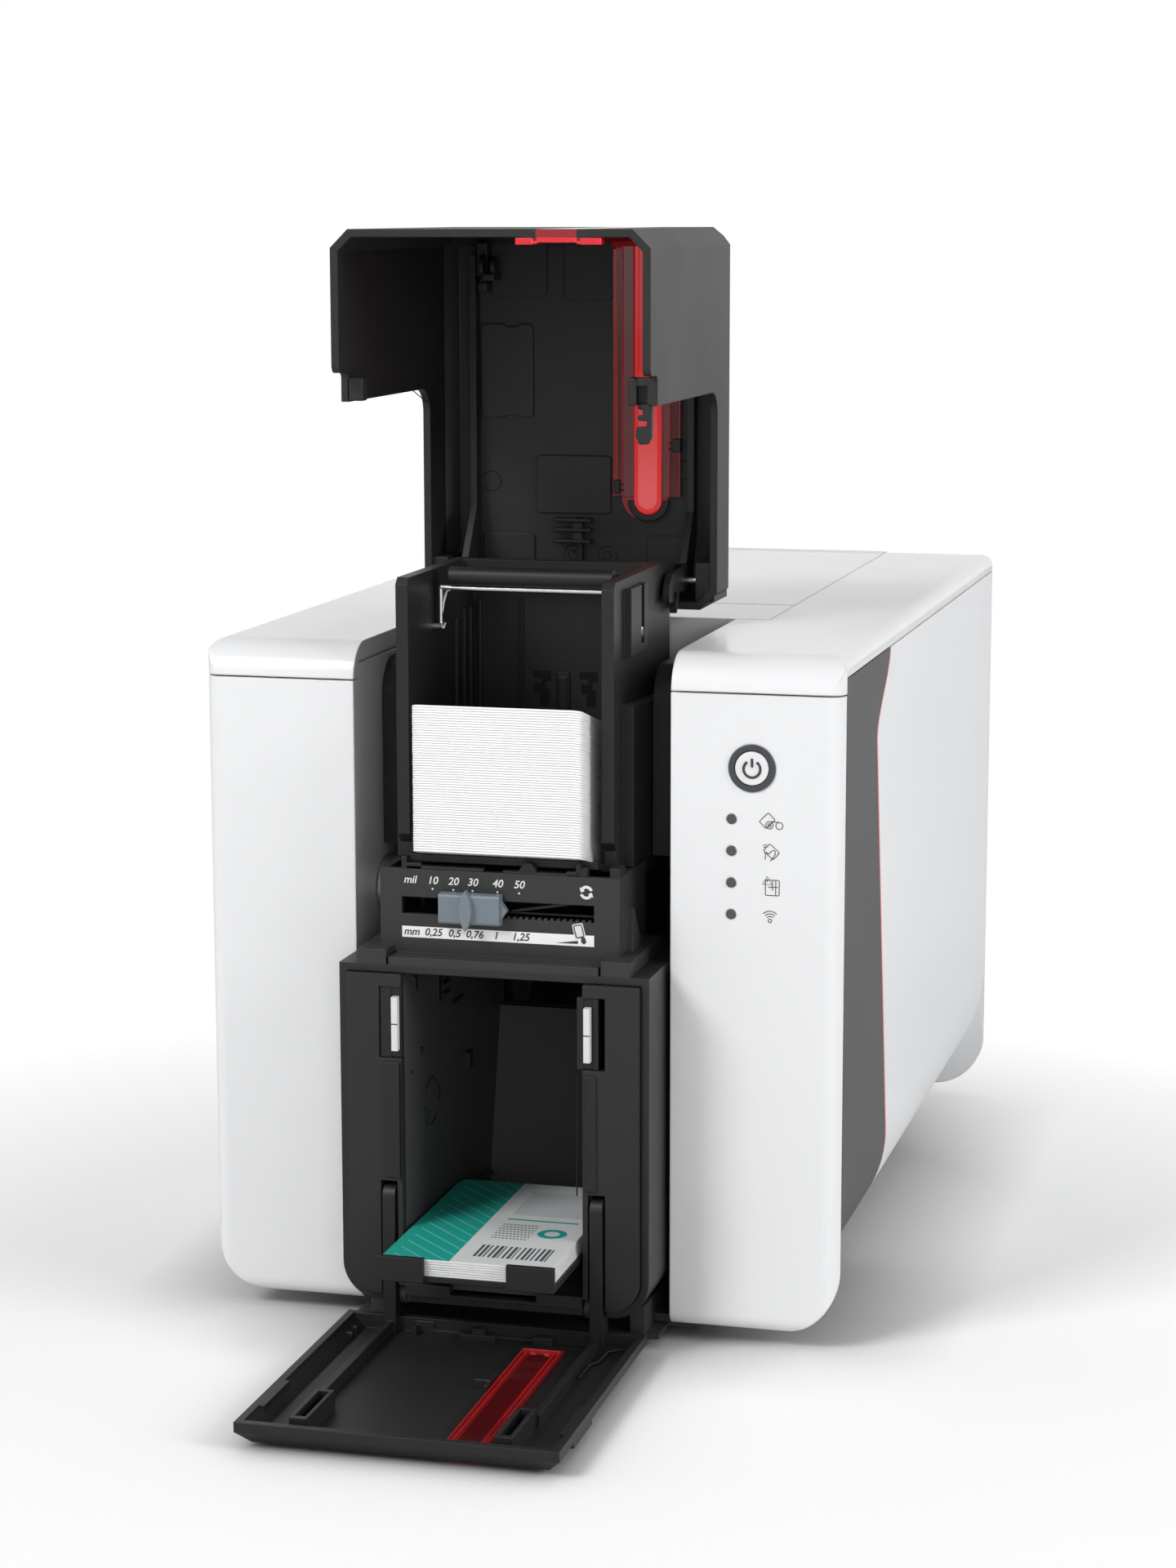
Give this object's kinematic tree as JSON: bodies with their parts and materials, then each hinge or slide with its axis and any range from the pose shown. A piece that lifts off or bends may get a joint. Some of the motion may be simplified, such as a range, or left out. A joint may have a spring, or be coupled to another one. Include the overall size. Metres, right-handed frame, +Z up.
{
  "type": "id card printer",
  "caption": "Desktop plastic-card printer with a hinged feeder lid, a card-thickness slider, a fold-down hopper door and a hinged top cover.",
  "frame": {"origin": "middle of the whole printer's outline, on the table under its feet", "axes": "+Z up, -Y out of the front where the cards come out, +X to the right seen from the front"},
  "size_m": [0.205, 0.451, 0.346],
  "materials": {
    "white_case": "glossy moulded white",
    "grey_case": "satin light grey",
    "accent_grey": "satin dark grey",
    "red_clear": "clear red",
    "black_plastic": "fine matte grain",
    "charcoal_plastic": "fine matte grain",
    "slider_grey": "satin",
    "steel": "plain bright steel",
    "motor_metal": "dull metal",
    "ring_metal": "satin silver grey",
    "magnet_white": "smooth white",
    "card_white": "smooth card stock",
    "card_print": "printed and smooth",
    "roller_rubber": "matte rubber",
    "roller_blue": "tacky blue rubber",
    "lens_clear": "clear lens",
    "board_green": "board lacquer",
    "ribbon_dark": "thin dark film"
  },
  "bodies": {
    "case": {"base_tray": "black_plastic", "feet": "roller_rubber", "left_front_panel": "white_case", "right_front_panel": "white_case", "left_top_shell": "white_case", "right_top_shell": "white_case", "left_side_panel": "grey_case", "right_side_panel": "grey_case", "left_accent_panel": "accent_grey", "right_accent_panel": "accent_grey", "accent_strips": "red_clear", "top_bridge": "white_case", "rear_panel": "grey_case", "cover_hinge_pins": "steel", "hopper_shell": "black_plastic", "hopper_face": "black_plastic", "hopper_bin": "black_plastic", "door_magnets": "magnet_white", "door_pins": "steel", "gauge_box": "black_plastic", "gauge_label": "card_white", "feeder_frame": "black_plastic", "side_guards": "black_plastic", "input_cards": "card_white", "button_ring": "ring_metal", "led_lenses": "lens_clear", "panel_board": "board_green", "left_engine_plate": "steel", "right_engine_plate": "steel", "feed_motor": "motor_metal", "drive_motor": "motor_metal", "drive_belt": "roller_rubber", "print_head": "motor_metal", "ribbon_film": "ribbon_dark", "main_board": "board_green", "power_socket": "black_plastic", "data_ports": "motor_metal", "case_screws": "steel"},
    "lid": {"feeder_lid": "charcoal_plastic", "lid_arms": "black_plastic", "lid_window": "red_clear", "lid_hinge_pins": "steel"},
    "top_cover": {"top_cover": "white_case"},
    "door": {"hopper_door": "black_plastic", "door_window": "red_clear"},
    "tray": {"card_tray": "black_plastic", "printed_cards": "card_print"},
    "press_bail": {"press_bar": "black_plastic", "press_wire": "steel"},
    "slider": {"thickness_slider": "slider_grey"},
    "gate": {"card_gate": "steel"},
    "button": {"power_button": "magnet_white"},
    "feed_roller": {"feed_roller": "roller_rubber"},
    "entry_roller": {"entry_roller": "roller_rubber"},
    "cleaning_roller": {"cleaning_roller": "roller_blue"},
    "platen_roller": {"platen_roller": "roller_rubber"},
    "rear_roller": {"rear_roller": "roller_rubber"},
    "motor_pulley": {"motor_pulley": "magnet_white"},
    "ribbon_supply": {"ribbon_supply": "ribbon_dark"},
    "ribbon_takeup": {"ribbon_takeup": "ribbon_dark"}
  },
  "joints": [
    {"name": "lid_hinge", "type": "hinge", "parent": "case", "child": "lid", "pos_m": [-0.002, -0.02305, 0.232], "axis": [1, 0, 0], "range_deg": [0, 90]},
    {"name": "cover_hinge", "type": "hinge", "parent": "case", "child": "top_cover", "pos_m": [-0.002, 0.21395, 0.2142], "axis": [-1, 0, 0], "range_deg": [0, 70]},
    {"name": "door_hinge", "type": "hinge", "parent": "case", "child": "door", "pos_m": [-0.002, -0.12055, 0.0155], "axis": [-1, 0, 0], "range_deg": [0, 90]},
    {"name": "tray_slide", "type": "slide", "parent": "case", "child": "tray", "axis": [0, 1, 0], "range_m": [0, 0.026]},
    {"name": "press_hinge", "type": "hinge", "parent": "case", "child": "press_bail", "pos_m": [-0.002, -0.08105, 0.222], "axis": [1, 0, 0], "range_deg": [0, 80]},
    {"name": "thickness_slide", "type": "slide", "parent": "case", "child": "slider", "axis": [1, 0, 0], "range_m": [-0.0118, 0.0162]},
    {"name": "gate_slide", "type": "slide", "parent": "case", "child": "gate", "axis": [0, 0, 1], "range_m": [-0.0005, 0.0006]},
    {"name": "button_press", "type": "slide", "parent": "case", "child": "button", "axis": [0, 1, 0], "range_m": [0, 0.0008], "stiffness_N_per_m": 1500, "springref_m": -0.0003},
    {"name": "feed_roller_spin", "type": "hinge", "parent": "case", "child": "feed_roller", "pos_m": [-0.002, -0.07105, 0.13529], "axis": [1, 0, 0], "continuous": true},
    {"name": "motor_spin", "type": "hinge", "parent": "case", "child": "motor_pulley", "pos_m": [-0.002, 0.16995, 0.122], "axis": [1, 0, 0], "continuous": true},
    {"name": "entry_roller_spin", "type": "hinge", "parent": "case", "child": "entry_roller", "pos_m": [-0.002, 0.00995, 0.122], "axis": [1, 0, 0], "continuous": true},
    {"name": "cleaning_roller_spin", "type": "hinge", "parent": "case", "child": "cleaning_roller", "pos_m": [-0.002, 0.04995, 0.122], "axis": [1, 0, 0], "continuous": true},
    {"name": "platen_roller_spin", "type": "hinge", "parent": "case", "child": "platen_roller", "pos_m": [-0.002, 0.08995, 0.122], "axis": [1, 0, 0], "continuous": true},
    {"name": "rear_roller_spin", "type": "hinge", "parent": "case", "child": "rear_roller", "pos_m": [-0.002, 0.12995, 0.122], "axis": [1, 0, 0], "continuous": true},
    {"name": "ribbon_supply_spin", "type": "hinge", "parent": "case", "child": "ribbon_supply", "pos_m": [-0.002, 0.05795, 0.172], "axis": [1, 0, 0], "continuous": true},
    {"name": "ribbon_takeup_spin", "type": "hinge", "parent": "case", "child": "ribbon_takeup", "pos_m": [-0.002, 0.13395, 0.172], "axis": [1, 0, 0], "continuous": true}
  ],
  "couplings": [
    {"joint": "tray_slide", "follows": "door_hinge", "m_per_rad": 0.016552},
    {"joint": "gate_slide", "follows": "thickness_slide", "ratio": 0.0357},
    {"joint": "entry_roller_spin", "follows": "motor_spin", "ratio": 1},
    {"joint": "cleaning_roller_spin", "follows": "motor_spin", "ratio": 1},
    {"joint": "platen_roller_spin", "follows": "motor_spin", "ratio": 1},
    {"joint": "rear_roller_spin", "follows": "motor_spin", "ratio": 1},
    {"joint": "ribbon_takeup_spin", "follows": "ribbon_supply_spin", "ratio": 1.9}
  ]
}
